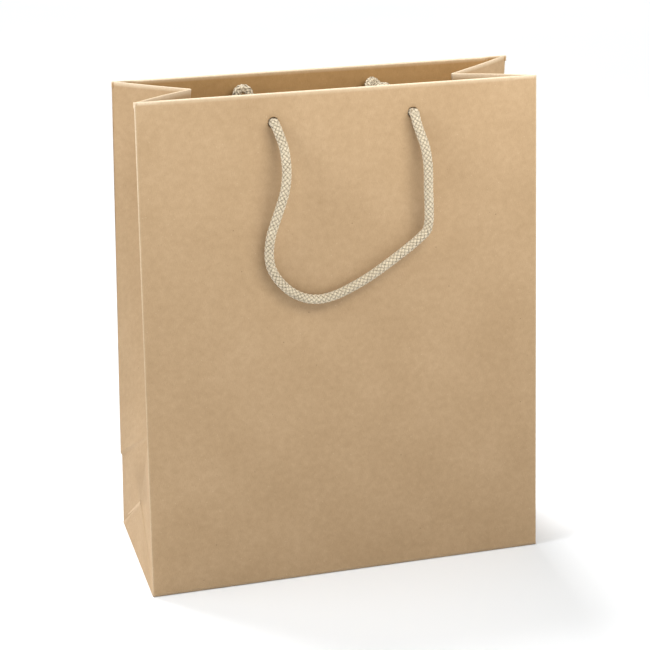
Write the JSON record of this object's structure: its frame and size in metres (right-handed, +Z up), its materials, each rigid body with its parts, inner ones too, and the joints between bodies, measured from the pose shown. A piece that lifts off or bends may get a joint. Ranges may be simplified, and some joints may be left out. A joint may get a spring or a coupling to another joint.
{
  "type": "gift bag",
  "caption": "Upright kraft paper gift bag with folded side gussets, turned-in top hem, flat card base and braided cotton cord handles knotted through punched holes.",
  "frame": {"origin": "middle of the base on the surface that the bag stands on", "axes": "+Z up towards the mouth, -Y out of the front wall, +X to the right as the front is seen"},
  "size_m": [0.255, 0.105, 0.3091],
  "materials": {
    "kraft_outside": "uncoated kraft",
    "kraft_inside": "uncoated kraft, inner side",
    "grey_board": "pressed greyboard",
    "cotton_cord": "braided natural cotton"
  },
  "bodies": {
    "base": {"front_bottom_flap": "kraft_outside", "back_bottom_flap": "kraft_outside", "left_end_tuck": "kraft_inside", "right_end_tuck": "kraft_inside", "base_card": "grey_board"},
    "front_wall": {"front_panel": "kraft_outside", "front_top_card": "grey_board", "front_hem": "kraft_inside", "front_left_knot": "cotton_cord", "front_right_knot": "cotton_cord"},
    "back_wall": {"back_panel": "kraft_outside", "back_top_card": "grey_board", "back_hem": "kraft_inside", "seam_flap": "kraft_inside", "back_left_knot": "cotton_cord", "back_right_knot": "cotton_cord"},
    "left_foot": {"left_foot": "kraft_outside"},
    "left_front_flank": {"left_front_flank": "kraft_outside"},
    "left_front_pleat": {"left_front_pleat": "kraft_outside", "left_front_pleat_hem": "kraft_inside"},
    "left_back_flank": {"left_back_flank": "kraft_outside"},
    "left_back_pleat": {"left_back_pleat": "kraft_outside", "left_back_pleat_hem": "kraft_inside"},
    "right_foot": {"right_foot": "kraft_outside"},
    "right_front_flank": {"right_front_flank": "kraft_outside"},
    "right_front_pleat": {"right_front_pleat": "kraft_outside", "right_front_pleat_hem": "kraft_inside"},
    "right_back_flank": {"right_back_flank": "kraft_outside"},
    "right_back_pleat": {"right_back_pleat": "kraft_outside", "right_back_pleat_hem": "kraft_inside"},
    "front_handle": {"front_handle_cord": "cotton_cord"},
    "back_handle": {"back_handle_cord": "cotton_cord"}
  },
  "joints": [
    {"name": "mouth_close", "type": "hinge", "parent": "base", "child": "front_wall", "pos_m": [0, -0.0525, 0], "axis": [-1, 0, 0], "range_deg": [0, 3.1]},
    {"name": "back_wall_close", "type": "hinge", "parent": "base", "child": "back_wall", "pos_m": [0, 0.0525, 0], "axis": [1, 0, 0], "range_deg": [0, 3.1]},
    {"name": "left_foot_fold", "type": "hinge", "parent": "base", "child": "left_foot", "pos_m": [-0.1275, 0, 0], "axis": [0, 1, 0], "range_deg": [0, 6.55]},
    {"name": "left_front_flank_fold", "type": "hinge", "parent": "front_wall", "child": "left_front_flank", "pos_m": [-0.1275, -0.0525, 0], "axis": [0, -0.0767, -0.9971], "range_deg": [0, 6.55]},
    {"name": "left_front_pleat_fold", "type": "hinge", "parent": "left_front_flank", "child": "left_front_pleat", "pos_m": [-0.1275, -0.02872, 0.30909], "axis": [0.0754, 0.1093, -0.9911], "range_deg": [0, 13.4]},
    {"name": "left_back_flank_fold", "type": "hinge", "parent": "back_wall", "child": "left_back_flank", "pos_m": [-0.1275, 0.0525, 0], "axis": [0, -0.0767, 0.9971], "range_deg": [0, 6.55]},
    {"name": "left_back_pleat_fold", "type": "hinge", "parent": "left_back_flank", "child": "left_back_pleat", "pos_m": [-0.1275, 0.02872, 0.30909], "axis": [-0.0754, 0.1093, 0.9911], "range_deg": [0, 13.4]},
    {"name": "right_foot_fold", "type": "hinge", "parent": "base", "child": "right_foot", "pos_m": [0.1275, 0, 0], "axis": [0, -1, 0], "range_deg": [0, 6.55]},
    {"name": "right_front_flank_fold", "type": "hinge", "parent": "front_wall", "child": "right_front_flank", "pos_m": [0.1275, -0.0525, 0], "axis": [0, 0.0767, 0.9971], "range_deg": [0, 6.55]},
    {"name": "right_front_pleat_fold", "type": "hinge", "parent": "right_front_flank", "child": "right_front_pleat", "pos_m": [0.1275, -0.02872, 0.30909], "axis": [0.0754, -0.1093, 0.9911], "range_deg": [0, 13.4]},
    {"name": "right_back_flank_fold", "type": "hinge", "parent": "back_wall", "child": "right_back_flank", "pos_m": [0.1275, 0.0525, 0], "axis": [0, 0.0767, -0.9971], "range_deg": [0, 6.55]},
    {"name": "right_back_pleat_fold", "type": "hinge", "parent": "right_back_flank", "child": "right_back_pleat", "pos_m": [0.1275, 0.02872, 0.30909], "axis": [-0.0754, -0.1093, -0.9911], "range_deg": [0, 13.4]},
    {"name": "front_handle_swing", "type": "hinge", "parent": "front_wall", "child": "front_handle", "pos_m": [0, -0.03367, 0.29162], "axis": [-1, 0, 0], "range_deg": [0, 165]},
    {"name": "back_handle_swing", "type": "hinge", "parent": "back_wall", "child": "back_handle", "pos_m": [0, 0.03367, 0.29162], "axis": [1, 0, 0], "range_deg": [0, 165]}
  ],
  "couplings": [
    {"joint": "back_wall_close", "follows": "mouth_close", "ratio": 1},
    {"joint": "left_foot_fold", "follows": "mouth_close", "ratio": 2.1101},
    {"joint": "left_front_flank_fold", "follows": "mouth_close", "ratio": 2.1101},
    {"joint": "left_front_pleat_fold", "follows": "mouth_close", "ratio": 4.322},
    {"joint": "left_back_flank_fold", "follows": "mouth_close", "ratio": 2.1101},
    {"joint": "left_back_pleat_fold", "follows": "mouth_close", "ratio": 4.322},
    {"joint": "right_foot_fold", "follows": "mouth_close", "ratio": 2.1101},
    {"joint": "right_front_flank_fold", "follows": "mouth_close", "ratio": 2.1101},
    {"joint": "right_front_pleat_fold", "follows": "mouth_close", "ratio": 4.322},
    {"joint": "right_back_flank_fold", "follows": "mouth_close", "ratio": 2.1101},
    {"joint": "right_back_pleat_fold", "follows": "mouth_close", "ratio": 4.322}
  ]
}
